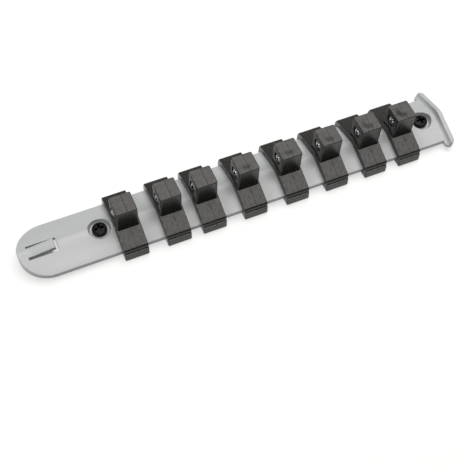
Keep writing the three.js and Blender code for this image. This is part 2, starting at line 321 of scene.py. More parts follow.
def wall_ring(skin, outline, height):
    """A ring at the foot of an outline's wall, at a height that may depend on y."""
    return skin.ring([(p.x, p.y, height(p.y)) for p in outline],
                     [(p.face_x, p.face_y, 0) for p in outline])


def flat_ring(skin, outline, height, normal):
    """The same places again, as the edge of a surface that faces another way."""
    return skin.ring([(p.x, p.y, height(p.y)) for p in outline], [normal(p.y) for p in outline])


# Heights and facings on the rail's hidden side, in the form that wall_ring and flat_ring take
def under(y):
    return roof(y) - plate_thickness


def under_normal(y):
    return -roof_normal(y)


def at_base(y):
    return stand_off


def down(y):
    return Vector((0, 0, -1))


def rail_outline(inset, rounding, steps, side=1):
    """The rail without its ears, from above, drawn in by an inset."""
    round_x = left_end + half_width
    c = end_corner
    reach = half_width - inset
    end = right_end - max(inset, lip_thickness / 2)
    return (arc(round_x, 0, reach, 90, 270, steps, rounding, side)
            + arc(end - c, c - reach, c, -90, 0, 3, rounding, side)
            + arc(end - c, reach - c, c, 0, 90, 3, rounding, side))


def stop_opening():
    """The opening round the stop. Its edge is sharp where the stop's root crosses it."""
    low = stop_middle - stop_half_width - slit_width
    high = stop_middle + stop_half_width + slit_width
    c = opening_corner
    r = slit_rounding
    root_high = EdgePoint(stop_root, stop_middle + stop_half_width, r, 0, 1, 0, r)
    root_low = EdgePoint(stop_root, stop_middle - stop_half_width, r, 0, 1, 0, r)
    root = [root_high, root_high._replace(draw_x=0, radius=0),
            root_low._replace(draw_x=0, radius=0), root_low]
    loop = (arc(opening_end - c, low + c, c, -90, 0, 4, r, -1)
            + arc(opening_end - c, high - c, c, 0, 90, 4, r, -1)
            + arc(stop_root + c, high - c, c, 90, 180, 4, r, -1)
            + root
            + arc(stop_root + c, low + c, c, 180, 270, 4, r, -1))
    return with_crest_points(loop)[::-1]


def circle(x, radius, rounding, steps=72, side=-1):
    """A round outline that starts and ends at the same place, so its last point is dropped."""
    return with_crest_points(arc(x, 0, radius, 0, 360, steps, rounding, side)[:-1])


def add_seat(skin, x):
    """A tapered seat, from its rounded rim down to its floor, and the rim's outer ring."""
    rim = circle(x, seat_rim_radius, rim_rounding)[::-1]
    taper = (seat_rim_radius - seat_floor_radius) / seat_depth
    rings = rounded_rings(skin, rim, taper)
    below = rings[0]
    around = [Vector((-p.face_x, -p.face_y)) for p in rim]
    for angle in quarter_angles(3):
        radius = seat_floor_radius - seat_fillet * (1 - cos(angle))
        height = seat_floor + seat_fillet * (1 - sin(angle))
        ring = skin.ring([(x + a.x * radius, a.y * radius, height) for a in around],
                         [(-a.x * cos(angle), -a.y * cos(angle), sin(angle) + taper)
                          for a in around])
        skin.bridge(ring, below)
        below = ring
    skin.faces.append(tuple(reversed(below)))
    return rings[-1]


def add_boss(skin, x):
    """A boss under the plate, down to the rail's base, and the ring where it meets the plate."""
    outline = circle(x, boss_radius, 0, 48, 1)
    top = wall_ring(skin, outline, under)
    base = wall_ring(skin, outline, at_base)
    skin.bridge(base, top)
    skin.fill([flat_ring(skin, outline, at_base, down)], flip=True)
    return flat_ring(skin, outline, under, under_normal)


def circle_drop(radius, way):
    """How far an arc has fallen away from its tangent, and its slope, a way along it. The way
    stops just short of the radius, where the slope would have no end."""
    way = max(0, min(radius * 0.9995, way))
    left = sqrt(radius * radius - way * way)
    return radius - left, way / left


def lip_rise(inset):
    """The lip's height over the roof at a distance in from the rail's end, and its slope."""
    if inset < lip_thickness:
        drop, steep = circle_drop(lip_edge_radius, inset - lip_thickness + lip_edge_radius)
        return lip_foot_radius + lip_edge_radius - drop, -steep
    drop, steep = circle_drop(lip_foot_radius, lip_thickness + lip_foot_radius - inset)
    return drop, -steep


def add_head(skin):
    """The head as rings drawn in from its outline to its middle line, each at the lip's height,
    with the outer edge rounded over, both ears included."""
    ear = head_length / 2
    ear_y = ear_reach - ear
    quarters = quarter_angles(7)
    insets = [head_length - lip_edge_radius * (1 - cos(a)) for a in quarters]
    insets += [lip_thickness + lip_foot_radius * (1 - sin(a)) for a in quarters]
    insets += [lip_thickness - lip_edge_radius * (1 - cos(a)) for a in quarters]
    widths = sorted({0, *(round(abs(inset - ear) / mm, 4) * mm for inset in insets)}, reverse=True)
    way_round = [(y, 1, 0) for y in (*crest_levels, ear_y)]
    way_round += [(ear_y, cos(a), sin(a)) for a in
                  (pi * step / 16 for step in range(1, 16))]
    way_round += [(y, -1, 0) for y in (ear_y, *reversed(crest_levels), -ear_y)]
    way_round += [(-ear_y, cos(a), sin(a)) for a in
                  (pi * (1 + step / 16) for step in range(1, 16))]
    way_round += [(-ear_y, 1, 0)]
    rings = []
    for width in widths:
        points = []
        normals = []
        edge, steep = circle_drop(lip_edge_radius, lip_edge_radius - (ear - width))
        for middle_y, face_x, face_y in way_round:
            x, y = right_end - ear + face_x * width, middle_y + face_y * width
            rise, slant = lip_rise(right_end - x)
            points.append((x, y, roof(y) + rise - edge - lip_sink))
            tilt = roof_normal(y)
            normals.append((slant + face_x * steep, tilt.y / tilt.z + face_y * steep, 1))
        rings.append(skin.ring(points, normals))
    wall = [(face_x, face_y, 0) for _, face_x, face_y in way_round]
    top = skin.ring([skin.points[i] for i in rings[0]], wall)
    base = skin.ring([(*skin.points[i].xy, stand_off + lip_sink) for i in rings[0]], wall)
    skin.bridge(base, top)
    skin.chain(rings)
    skin.cap(base, (0, 0, -1), flip=True)


def ranged(tree, value, taken, given, smooth=False):
    """A material's value, spread from the range that it takes to the range that it gives."""
    spread = tree.nodes.new("ShaderNodeMapRange")
    if smooth:
        spread.interpolation_type = "SMOOTHSTEP"
    for socket, end in zip(("From Min", "From Max", "To Min", "To Max"), (*taken, *given)):
        spread.inputs[socket].default_value = end
    tree.links.new(value, spread.inputs["Value"])
    return spread.outputs["Result"]


def worked_out(tree, operation, *values):
    """A material's value, worked out from numbers and from the outputs of other nodes."""
    sum_node = tree.nodes.new("ShaderNodeMath")
    sum_node.operation = operation
    for socket, value in zip(sum_node.inputs, values):
        if isinstance(value, (int, float)):
            socket.default_value = value
        else:
            tree.links.new(value, socket)
    return sum_node.outputs[0]


# The fine unevenness of a surface and its wide, soft clouds, used by every finish of the part
grain = bpy.data.node_groups.new("moulded_grain", "ShaderNodeTree")
grain.interface.new_socket("Vector", in_out="INPUT", socket_type="NodeSocketVector")
grain.interface.new_socket("Grain size", in_out="INPUT", socket_type="NodeSocketFloat")
grain.interface.new_socket("Cloud reach", in_out="INPUT", socket_type="NodeSocketVector")
grain.interface.new_socket("Height", in_out="OUTPUT", socket_type="NodeSocketFloat")
grain.interface.new_socket("Cloud", in_out="OUTPUT", socket_type="NodeSocketFloat")
grain_in = grain.nodes.new("NodeGroupInput")
grain_out = grain.nodes.new("NodeGroupOutput")
fine = grain.nodes.new("ShaderNodeTexNoise")
fine.inputs["Detail"].default_value = 4
fine.inputs["Roughness"].default_value = 0.6
fine_scale = worked_out(grain, "DIVIDE", 1, grain_in.outputs["Grain size"])
grain.links.new(fine_scale, fine.inputs["Scale"])
grain.links.new(grain_in.outputs["Vector"], fine.inputs["Vector"])
wide = grain.nodes.new("ShaderNodeTexNoise")
wide.inputs["Scale"].default_value = 1
wide.inputs["Detail"].default_value = 3
spread = grain.nodes.new("ShaderNodeVectorMath")
spread.operation = "DIVIDE"
grain.links.new(grain_in.outputs["Vector"], spread.inputs[0])
grain.links.new(grain_in.outputs["Cloud reach"], spread.inputs[1])
grain.links.new(spread.outputs[0], wide.inputs["Vector"])
grain.links.new(fine.outputs["Fac"], grain_out.inputs["Height"])
grain.links.new(wide.outputs["Fac"], grain_out.inputs["Cloud"])


def grained_material(name, shine, grain_size, cloud_reach, attribute=None):
    """A new material with the grain in place, read over the piece or over its attribute."""
    material = bpy.data.materials.new(name)
    material.use_nodes = True
    tree = material.node_tree
    shader = tree.nodes["Principled BSDF"]
    shader.inputs["Specular IOR Level"].default_value = shine
    place = tree.nodes.new("ShaderNodeAttribute" if attribute else "ShaderNodeTexCoord")
    if attribute:
        place.attribute_name = attribute
    group = tree.nodes.new("ShaderNodeGroup")
    group.node_tree = grain
    group.inputs["Grain size"].default_value = grain_size
    group.inputs["Cloud reach"].default_value = cloud_reach
    tree.links.new(place.outputs["Vector" if attribute else "Object"], group.inputs["Vector"])
    return material, tree, shader, group


def two_tones(tree, shader, mask, dark, light):
    """Colours a surface from dark to light as a mask goes from 0 to 1."""
    tone = tree.nodes.new("ShaderNodeMix")
    tone.data_type = "RGBA"
    tone.inputs["A"].default_value = (*dark, 1)
    tone.inputs["B"].default_value = (*light, 1)
    tree.links.new(mask, tone.inputs["Factor"])
    tree.links.new(tone.outputs["Result"], shader.inputs["Base Color"])


def moulded_material(name, dark, light, shine, roughness, grain_size, cloud_reach, relief,
                     attribute=None):
    """A moulded finish: two close colours in soft clouds, with a fine grain in the surface."""
    material, tree, shader, group = grained_material(
        name, shine, grain_size, cloud_reach, attribute)
    cloud = group.outputs["Cloud"]
    cloud_range = (0.3, 0.7)
    unevenness = 0.06
    two_tones(tree, shader, ranged(tree, cloud, cloud_range, (0, 1)), dark, light)
    gloss = ranged(tree, cloud, cloud_range, (roughness + unevenness, roughness - unevenness))
    tree.links.new(gloss, shader.inputs["Roughness"])
    bump = tree.nodes.new("ShaderNodeBump")
    bump.inputs["Distance"].default_value = relief
    tree.links.new(group.outputs["Height"], bump.inputs["Height"])
    tree.links.new(bump.outputs["Normal"], shader.inputs["Normal"])
    return material


silver_plastic = moulded_material(
    "silver_plastic", (0.45, 0.47, 0.485), (0.49, 0.51, 0.525), 0.5, 0.34,
    0.25 * mm, (70 * mm, 7 * mm, 7 * mm), 0.012 * mm)

rail_skin = Skin()
outer = with_crest_points(rail_outline(0, edge_rounding, 64))
outer_rings = rounded_rings(rail_skin, outer)
outer_base = wall_ring(rail_skin, outer, at_base)
rail_skin.bridge(outer_base, outer_rings[0])
opening = stop_opening()
opening_rings = rounded_rings(rail_skin, opening)
opening_base = wall_ring(rail_skin, opening, under)
rail_skin.bridge(opening_base, opening_rings[0])
seat_rings = [add_seat(rail_skin, x) for x in seat_places.values()]
rail_skin.fill([outer_rings[-1], opening_rings[-1], *seat_rings], crest_levels)
hollow = with_crest_points(rail_outline(skirt_wall, 0, 48, -1))
hollow_top = wall_ring(rail_skin, hollow, under)
hollow_base = wall_ring(rail_skin, hollow, at_base)
rail_skin.bridge(hollow_top, hollow_base)
rail_skin.fill([flat_ring(rail_skin, outer, at_base, down),
                flat_ring(rail_skin, hollow, at_base, down)], flip=True)
boss_rings = [add_boss(rail_skin, x) for x in seat_places.values()]
rail_skin.fill([flat_ring(rail_skin, hollow, under, under_normal),
                flat_ring(rail_skin, opening, under, under_normal), *boss_rings],
               crest_levels, flip=True)
add_head(rail_skin)
rail = rail_skin.piece("rail_moulding", silver_plastic)
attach(rail, "rail_body")
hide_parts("rail")


# Spring stop
# A tongue of the rail's own moulding, cut free on three sides and set up at its tip, so that a
# clip can't run off the round end.
stop_length = 15.6 * mm
stop_bend_length = 3.5 * mm
stop_rise = 1.9 * mm
stop_rounding = 0.3 * mm
stop_angle = asin(stop_rise / (stop_length - stop_bend_length / 2))


def stop_station(s):
    """Where the tongue's middle line runs at a distance from its root, and its angle there."""
    bent = min(s, stop_bend_length)
    angle = stop_angle * bent / stop_bend_length
    lift = stop_angle * bent * bent / (2 * stop_bend_length)
    straight = max(0, s - stop_bend_length)
    return (stop_root + bent + straight * cos(angle), lift + straight * sin(angle), angle)


stop_skin = Skin()
stop_rings = []
bend_stations = [stop_bend_length * step / 8 for step in range(9)]
tip_angles = [radians(degrees) for degrees in (0, 30, 60, 90)]
stations = [(s, 0, 0) for s in bend_stations]
stations += [(stop_length - stop_rounding + stop_rounding * sin(a),
              stop_rounding * (1 - cos(a)), a) for a in tip_angles]
for s, inset, tip in stations:
    x, lift, angle = stop_station(s)
    ahead = Vector((cos(angle), 0, sin(angle)))
    above = Vector((-sin(angle), 0, cos(angle)))
    low = stop_middle - stop_half_width + inset
    high = stop_middle + stop_half_width - inset
    r = stop_rounding
    section = [(low, -plate_thickness + inset, -1, 0), (low, -r - inset, -1, 0)]
    section += [(low + r - r * cos(a), -r - inset + r * sin(a), -cos(a), sin(a))
                for a in tip_angles[1:]]
    section += [(level, -inset, 0, 1) for level in crest_levels
                if abs(level - stop_middle) < stop_half_width - 2 * r]
    section += [(high - r + r * cos(a), -r - inset + r * sin(a), cos(a), sin(a))
                for a in reversed(tip_angles[1:])]
    section += [(high, -r - inset, 1, 0), (high, -plate_thickness + inset, 1, 0)]
    section += [(y, -plate_thickness + inset, 0, -1) for y in (high, stop_middle, low)]
    points = []
    normals = []
    for y, height, side, up in section:
        drop = roof(y) - ridge_top + height
        points.append(Vector((x, y, ridge_top + lift)) + above * drop)
        tilt = roof_normal(y) * up + Vector((0, side, 0))
        turned = Vector((0, tilt.y, 0)) + above * tilt.z
        normals.append(turned * cos(tip) + ahead * sin(tip))
    stop_rings.append(stop_skin.ring(points, normals))
for near, far in zip(stop_rings, stop_rings[1:]):
    stop_skin.bridge(far, near)
stop_skin.faces.append(tuple(stop_rings[0]))
stop_skin.faces.append(tuple(reversed(stop_rings[-1])))
stop = stop_skin.piece("stop_tongue", silver_plastic)
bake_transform(stop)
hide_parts("stop_tab")


# Feet
# A black rubber pad under each boss, with a spigot up into it, that keeps the clips' hooks
# clear of the bench. The screw in the seat above draws it up.
foot_rounding = 0.5 * mm
top_rounding = foot_rounding / 2
pad_gap = 0.05 * mm
spigot_radius = 4 * mm
rubber = moulded_material(
    "foot_rubber", (0.014, 0.014, 0.014), (0.024, 0.024, 0.023), 0.4, 0.72,
    0.35 * mm, (6 * mm, 6 * mm, 6 * mm), 0.03 * mm)


def ways_round(steps):
    """The ways out from an axis, evenly all round it."""
    return [Vector((cos(a), sin(a))) for a in
            (2 * pi * step / steps for step in range(steps))]


def lathed(profile, x, steps=64):
    """A turned skin on an upright axis, from points of radius, height and the way they face."""
    skin = Skin()
    rings = []
    around = ways_round(steps)
    for radius, height, out, up in profile:
        rings.append(skin.ring([(x + w.x * radius, w.y * radius, height) for w in around],
                               [(w.x * out, w.y * out, up) for w in around]))
    skin.chain(rings)
    return skin


def quarter(radius, height, r, start, end, steps=4):
    """Points of a rounded corner of a turned profile, round its centre."""
    made = []
    for step in range(steps + 1):
        a = radians(start + (end - start) * step / steps)
        made.append((radius + r * cos(a), height + r * sin(a), cos(a), sin(a)))
    return made


for side, x in seat_places.items():
    low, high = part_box(f"foot_{side}")
    pad_radius = (high.x - low.x) / 2
    pad_top = stand_off - pad_gap
    profile = [(0, low.z, 0, -1)]
    profile += quarter(pad_radius - foot_rounding, low.z + foot_rounding, foot_rounding, -90, 0)
    profile += quarter(pad_radius - top_rounding, pad_top - top_rounding, top_rounding, 0, 90)
    profile += [(spigot_radius, pad_top, 0, 1), (spigot_radius, pad_top, 1, 0)]
    profile += [(spigot_radius, high.z, 1, 0), (spigot_radius, high.z, 0, 1), (0, high.z, 0, 1)]
    foot = lathed(profile, x).piece(f"foot_pad_{side}", rubber)
    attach(foot, "rail_body")
    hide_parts(f"foot_{side}")


# Foot screws
# Black steel screws with a domed head and a cross recess, sunk in the tapered seats. Each is
# turned, then cut, and runs down through its boss into the foot, which it draws up.
screw_head_radius = 4.3 * mm
screw_head_gap = 0.05 * mm
screw_dome = 0.9 * mm
screw_rounding = 0.35 * mm
shank_radius = 1.75 * mm
cross_half_span = 2.7 * mm
cross_half_width = 0.75 * mm
cross_depth = 2.4 * mm


def steel_material(name, dark, light, metallic, shine, gloss, grain_size, cloud_size):
    """A steel finish: two close tones in clouds, and a roughness that follows the grain."""
    material, tree, shader, group = grained_material(
        name, shine, grain_size, (cloud_size, cloud_size, cloud_size))
    shader.inputs["Metallic"].default_value = metallic
    two_tones(tree, shader, group.outputs["Cloud"], dark, light)
    roughness = ranged(tree, group.outputs["Height"], (0, 1), gloss)
    tree.links.new(roughness, shader.inputs["Roughness"])
    return material


def begun_tree(name, kinds):
    """A Geometry Nodes tree with its named inputs, what they put in, and their sockets."""
    tree = bpy.data.node_groups.new(name, "GeometryNodeTree")
    sockets = {}
    for label, kind in kinds.items():
        sockets[label] = tree.interface.new_socket(
            label, in_out="INPUT", socket_type="NodeSocket" + kind)
    tree.interface.new_socket("Geometry", in_out="OUTPUT", socket_type="NodeSocketGeometry")
    return tree, tree.nodes.new("NodeGroupInput").outputs, sockets


def end_tree(tree, given, made):
    """Ends a tree: what it made becomes real geometry and gets the material that is put in."""
    realize = tree.nodes.new("GeometryNodeRealizeInstances")
    tree.links.new(made, realize.inputs["Geometry"])
    paint = tree.nodes.new("GeometryNodeSetMaterial")
    tree.links.new(realize.outputs["Geometry"], paint.inputs["Geometry"])
    tree.links.new(given["Material"], paint.inputs["Material"])
    tree_end = tree.nodes.new("NodeGroupOutput")
    tree.links.new(paint.outputs["Geometry"], tree_end.inputs["Geometry"])


black_steel = steel_material(
    "black_steel", (0.002, 0.002, 0.002), (0.010, 0.0098, 0.0095), 0, 0.12, (0.22, 0.42),
    0.4 * mm, 2.5 * mm)

# The cross recess is two bars, crossed and cut away by a tree that both screws use
recess_tree, given, recess_sockets = begun_tree("cross_recess", {
    "Geometry": "Geometry", "Place": "Vector", "Span": "Float", "Width": "Float",
    "Depth": "Float", "Material": "Material"})
cut = recess_tree.nodes.new("GeometryNodeMeshBoolean")
cut.operation = "DIFFERENCE"
cut.solver = "EXACT"
for long_axis, short_axis in (("X", "Y"), ("Y", "X")):
    bar_size = recess_tree.nodes.new("ShaderNodeCombineXYZ")
    recess_tree.links.new(given["Span"], bar_size.inputs[long_axis])
    recess_tree.links.new(given["Width"], bar_size.inputs[short_axis])
    recess_tree.links.new(given["Depth"], bar_size.inputs["Z"])
    bar = recess_tree.nodes.new("GeometryNodeMeshCube")
    recess_tree.links.new(bar_size.outputs[0], bar.inputs["Size"])
    move_bar = recess_tree.nodes.new("GeometryNodeTransform")
    recess_tree.links.new(bar.outputs["Mesh"], move_bar.inputs["Geometry"])
    recess_tree.links.new(given["Place"], move_bar.inputs["Translation"])
    recess_tree.links.new(move_bar.outputs["Geometry"], cut.inputs["Mesh 2"])
recess_tree.links.new(given["Geometry"], cut.inputs["Mesh 1"])
end_tree(recess_tree, given, cut.outputs["Mesh"])


def made_by(tree, sockets, values, name, base=None):
    """Runs a Geometry Nodes tree, on a base or on nothing, and gives back a plain mesh object."""
    holder = base or placed(name + "_base", bpy.data.meshes.new(name + "_base"))
    modifier = holder.modifiers.new("tree", "NODES")
    modifier.node_group = tree
    for key, value in values.items():
        modifier[sockets[key].identifier] = value
    bpy.context.view_layer.update()
    graph = bpy.context.evaluated_depsgraph_get()
    mesh = bpy.data.meshes.new_from_object(holder.evaluated_get(graph))
    bpy.data.objects.remove(holder)
    mesh.name = name
    return placed(name, mesh)


for side, x in seat_places.items():
    low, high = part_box(f"foot_screw_{side}")
    head_base = seat_floor + screw_head_gap
    shoulder = high.z - screw_dome
    profile = [(0, low.z, 0, -1), (shank_radius / 2, low.z, 0, -1),
               (shank_radius, low.z + shank_radius / 2, 1, 0),
               (shank_radius, head_base, 1, 0), (shank_radius, head_base, 0, -1)]
    profile += quarter(screw_head_radius - screw_rounding, head_base + screw_rounding,
                       screw_rounding, -90, 0, 3)
    profile += [(screw_head_radius, shoulder, 1, 0)]
    for a in quarter_angles(10)[1:]:
        profile.append((screw_head_radius * cos(a), shoulder + screw_dome * sin(a),
                        cos(a) * screw_dome, sin(a) * screw_head_radius))
    blank = lathed(profile, x, 48).piece(f"screw_blank_{side}", black_steel)
    screw = made_by(recess_tree, recess_sockets, {
        "Place": (x, 0, high.z), "Span": 2 * cross_half_span, "Width": 2 * cross_half_width,
        "Depth": 2 * cross_depth, "Material": black_steel}, f"screw_{side}", blank)
    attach(screw, "rail_body")
    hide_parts(f"foot_screw_{side}")


# Socket clips
# Black moulded clips: a strap over the roof, a wall and a hook at each edge, a flared grip, and
# a square drive post with a countersunk mouth for its ball. A parting line runs over each.
run_clearance = 0.35 * mm
clip_half_width = 7.3 * mm
wall_outside = 19.85 * mm
shoulder_radius = 1.8 * mm
grip_height = 4.8 * mm
grip_ledge = 0.9 * mm
grip_ramp = 0.3 * mm
grip_flare = 1.2 * mm
hook_reach = 2.85 * mm
hook_tip_radius = 0.35 * mm
hook_edge_radius = 0.5 * mm
hook_pocket_radius = 0.15 * mm
grip_foot_radius = 0.5 * mm
grip_top_radius = 0.25 * mm
grip_ramp_radius = 0.2 * mm
ridge_radius = 1.5 * mm
channel_radius = 0.3 * mm
crest_radius = 0.05 * mm
strap_edge_rise = 2.9 * mm
strap_ridge_rise = 5.4 * mm
post_half = 6.35 * mm
post_middle = -1.45 * mm
post_corner = 1 * mm
post_corner_steps = 6
post_rounding = 0.5 * mm
post_draft = 0.15 * mm
post_foot_depth = 4.2 * mm
dish_radius = 5.5 * mm
little_sink = 0.04 * mm
full_sink = 0.38 * mm
outer_rounding = 0.5 * mm
inner_rounding = 0.25 * mm
grip_rounding = 0.9 * mm
mouth_radius = 3.95 * mm
mouth_depth = 0.75 * mm
mouth_rounding = 0.2 * mm
swage_radius = 2.65 * mm
swage_rise = 0.4 * mm
throat_step = 0.1 * mm
throat_taper = 0.4 * mm
bore_radius = 2.59 * mm
bore_depth = 9 * mm

clip_low, clip_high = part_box("clip_1")
ball_low, ball_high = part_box("clip_ball_1")
clip_bottom = clip_low.z
post_top = clip_high.z
ball_height = (ball_low.z + ball_high.z) / 2
hook_top = stand_off - run_clearance
strap_edge = edge_top + strap_edge_rise
strap_ridge = ridge_top + strap_ridge_rise

# A point of the clip's section: its place, the way it faces, the rounding that it has at the
# clip's ends, its arc's centre and radius, and the way the corner goes once the arc is used up
SectionPoint = namedtuple("SectionPoint", "place face rounding centre radius mitre")


def filleted(corners, steps=6, edge_share=0.7):
    """A closed outline with arcs at its corners, which are given as y, z, the arc's radius and
    the rounding that their edges have at the clip's ends. No arc takes up more of an edge than
    its share."""
    made = []
    for k, (y, z, radius, rounding) in enumerate(corners):
        here = Vector((y, z))
        before = Vector(corners[k - 1][:2])
        after = Vector(corners[(k + 1) % len(corners)][:2])
        back, ahead = (before - here).normalized(), (after - here).normalized()
        turn = acos(max(-1, min(1, back.dot(ahead))))
        longest = edge_share * min((before - here).length, (after - here).length)
        reach = min(radius / tan(turn / 2), longest)
        start, end = here + back * reach, here + ahead * reach
        convex = back.x * ahead.y - back.y * ahead.x < 0
        into = Vector((-back.y, back.x))
        true_radius = reach * tan(turn / 2)
        centre = start + (into if into.dot(ahead) > 0 else -into) * true_radius
        mitre = (here - centre) / true_radius
        for step in range(steps + 1):
            share = step / steps
            way = (start - centre) * (1 - share) + (end - centre) * share
            way = way.normalized()
            face = way if convex else -way
            made.append(SectionPoint(centre + way * true_radius, face, rounding, centre,
                                     true_radius if convex else inf, mitre))
    return made


def drawn_in(point, depth):
    """Where a point of the section goes when the section shrinks by a depth."""
    if depth > point.radius:
        return point.centre - point.mitre * (depth - point.radius)
    return point.place - point.face * depth


def clip_corners():
    """The clip's section, anticlockwise from the far hook's tip."""
    inner = half_width + run_clearance
    tip = inner - hook_reach
    grip_top = clip_bottom + grip_height
    out, deep, grip = outer_rounding, inner_rounding, grip_rounding
    far = [(tip, clip_bottom, hook_tip_radius, deep),
           (wall_outside + grip_flare, clip_bottom, grip_foot_radius, grip),
           (wall_outside + grip_ledge, grip_top, grip_top_radius, grip),
           (wall_outside, grip_top + grip_ramp, grip_ramp_radius, out),
           (wall_outside, strap_edge, shoulder_radius, out)]
    inside = [(inner, hook_top, hook_pocket_radius, deep),
              (tip, hook_top, hook_edge_radius, deep)]
    near = [(-y, z, r, edge) for y, z, r, edge in reversed(far)]
    ridge = [(0, strap_ridge, ridge_radius, out)]
    under_near = [(-y, z, r, edge) for y, z, r, edge in reversed(inside)]
    channel = [(-inner, edge_top + run_clearance, channel_radius, deep)]
    channel += [(y, roof(y) + run_clearance, crest_radius, deep) for y in crest_levels[::2]]
    channel += [(inner, edge_top + run_clearance, channel_radius, deep)]
    return far + ridge + near + under_near + channel + inside


def add_strap(skin):
    """The strap, its section run along X with rounded ends."""
    outline = filleted(clip_corners())
    rings = []
    angles = quarter_angles(4)
    for end in (-1, 1):
        for a in (reversed(angles) if end < 0 else angles):
            drawn, short = 1 - cos(a), 1 - sin(a)
            points = [(end * (clip_half_width - p.rounding * short),
                       *drawn_in(p, p.rounding * drawn)) for p in outline]
            normals = [(end * sin(a), p.face.x * cos(a), p.face.y * cos(a))
                       for p in outline]
            rings.append(skin.ring(points, normals))
    skin.chain(rings)
    for end, ring in ((-1, rings[0]), (1, rings[-1])):
        skin.cap(ring, (end, 0, 0), across=(1, 2), flip=end < 0)


def post_outline(inset, grow):
    """The post from above, anticlockwise, with the way each point faces."""
    half = post_half + grow - inset
    r = post_corner - inset
    made = []
    for start, x, y in ((-90, 1, -1), (0, 1, 1), (90, -1, 1), (180, -1, -1)):
        for step in range(post_corner_steps + 1):
            a = radians(start + 90 * step / post_corner_steps)
            way = Vector((cos(a), sin(a)))
            made.append((Vector((x * (half - r), post_middle + y * (half - r))) + way * r, way))
    return made


def add_post(skin, sink):
    """The post: drafted walls, a rounded top that has sunk a little in its middle where the
    plastic is thickest, and the ball's mouth in its left face."""
    foot = strap_ridge - post_foot_depth
    wall_top = post_top - post_rounding
    base = skin.ring([(p.x, p.y, foot) for p, way in post_outline(0, post_draft)],
                     [(way.x, way.y, 0) for p, way in post_outline(0, post_draft)])
    rings = []
    for a in quarter_angles(4):
        height = wall_top + post_rounding * sin(a)
        outline = post_outline(post_rounding * (1 - cos(a)), 0)
        turned = [(*(way * cos(a)), sin(a)) for p, way in outline]
        rings.append(skin.ring([(p.x, p.y, height) for p, way in outline], turned))
    # The left face lies between the third corner's last point and the fourth's first
    left_face = 3 * (post_corner_steps + 1) - 1
    skin.bridge(base, rings[0], skip=(left_face,))
    skin.chain(rings)
    around = ways_round(48)
    dish = []
    for step in range(10, 0, -1):
        share = step / 10
        radius = dish_radius * share
        height = post_top - sink * (1 + cos(pi * share)) / 2
        tilt = sink * pi / (2 * dish_radius) * sin(pi * share)
        dish.append(skin.ring([(w.x * radius, post_middle + w.y * radius, height) for w in around],
                              [(-w.x * tilt, -w.y * tilt, 1) for w in around]))
    skin.fill([rings[-1], dish[0]])
    skin.chain(dish)
    skin.fill([dish[-1]])
    skin.cap(base, (0, 0, -1), flip=True)

    def face_x(z):
        """Where the drafted left face stands at a height."""
        return -post_half - post_draft * (wall_top - z) / (wall_top - foot)

    sections = []
    for a in quarter_angles(3):
        sections.append((mouth_radius - mouth_rounding * sin(a),
                         mouth_rounding * (1 - cos(a)), -cos(a), -sin(a)))
    inner = mouth_radius - mouth_rounding
    sections += [(inner, mouth_depth, 0, -1), (inner, mouth_depth, -1, 0),
                 (swage_radius + swage_rise, mouth_depth, -1, 0)]
    for step in range(7):
        a = pi * step / 6
        sections.append((swage_radius + swage_rise * cos(a),
                         mouth_depth - swage_rise * sin(a), -sin(a), cos(a)))
    throat_depth = mouth_depth + throat_step
    sections += [(swage_radius - swage_rise, throat_depth, 0, -1),
                 (bore_radius, throat_depth + throat_taper, 1, -1), (bore_radius, bore_depth, 0, -1)]
    mouth = []
    for radius, depth, along, out in sections:
        points = []
        for way in around:
            y, z = post_middle + way.x * radius, ball_height + way.y * radius
            points.append((face_x(z) + depth, y, z))
        mouth.append(skin.ring(points, [(along, way.x * out, way.y * out) for way in around]))
    for wide, narrow in zip(mouth, mouth[1:]):
        skin.bridge(narrow, wide)
    skin.fill([mouth[-1]], across=(1, 2), flip=True)
    after = left_face + 1
    corners = [base[left_face], base[after], rings[0][after], rings[0][left_face]]
    skin.fill([corners, mouth[0]], across=(1, 2), flip=True)


clip_plastic = moulded_material(
    "clip_plastic", (0.004, 0.004, 0.0037), (0.023, 0.0217, 0.0192), 0.45, 0.26,
    0.22 * mm, (1.1 * mm, 2.4 * mm, 1.6 * mm), 0.007 * mm, attribute="clip_place")

# The parting line dips the surface, a hair to the right of the clip's middle
parting_place = 0.7 * mm
parting_half_width = 0.16 * mm
parting_depth = 0.06 * mm
tree = clip_plastic.node_tree
place = next(node for node in tree.nodes if node.bl_idname == "ShaderNodeAttribute")
bump = next(node for node in tree.nodes if node.bl_idname == "ShaderNodeBump")
split = tree.nodes.new("ShaderNodeSeparateXYZ")
tree.links.new(place.outputs["Vector"], split.inputs[0])
beside = worked_out(tree, "SUBTRACT", split.outputs["X"], parting_place)
line = ranged(tree, worked_out(tree, "ABSOLUTE", beside), (0, parting_half_width), (1, 0), True)
line_bump = tree.nodes.new("ShaderNodeBump")
line_bump.invert = True
line_bump.inputs["Distance"].default_value = parting_depth
tree.links.new(line, line_bump.inputs["Height"])
tree.links.new(bump.outputs["Normal"], line_bump.inputs["Normal"])
tree.links.new(line_bump.outputs["Normal"], tree.nodes["Principled BSDF"].inputs["Normal"])

# The posts of the first three clips, counted from the round end, have sunk less than the others
clip_numbers = range(1, 9)
little_sunk, well_sunk = Skin(), Skin()
for clip_skin, sink in ((little_sunk, little_sink), (well_sunk, full_sink)):
    add_strap(clip_skin)
    add_post(clip_skin, sink)
for number in clip_numbers:
    clip_skin = little_sunk if number <= 3 else well_sunk
    low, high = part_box(f"clip_{number}")
    middle = Vector(((low.x + high.x) / 2, 0, 0))
    clip = clip_skin.piece(f"clip_shell_{number}", clip_plastic, middle)
    local = clip.data.attributes.new("clip_place", "FLOAT_VECTOR", "POINT")
    for vertex, value in zip(clip.data.vertices, local.data):
        value.vector = vertex.co - middle
    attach(clip, f"clip_body_{number}")
    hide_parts(f"clip_{number}")


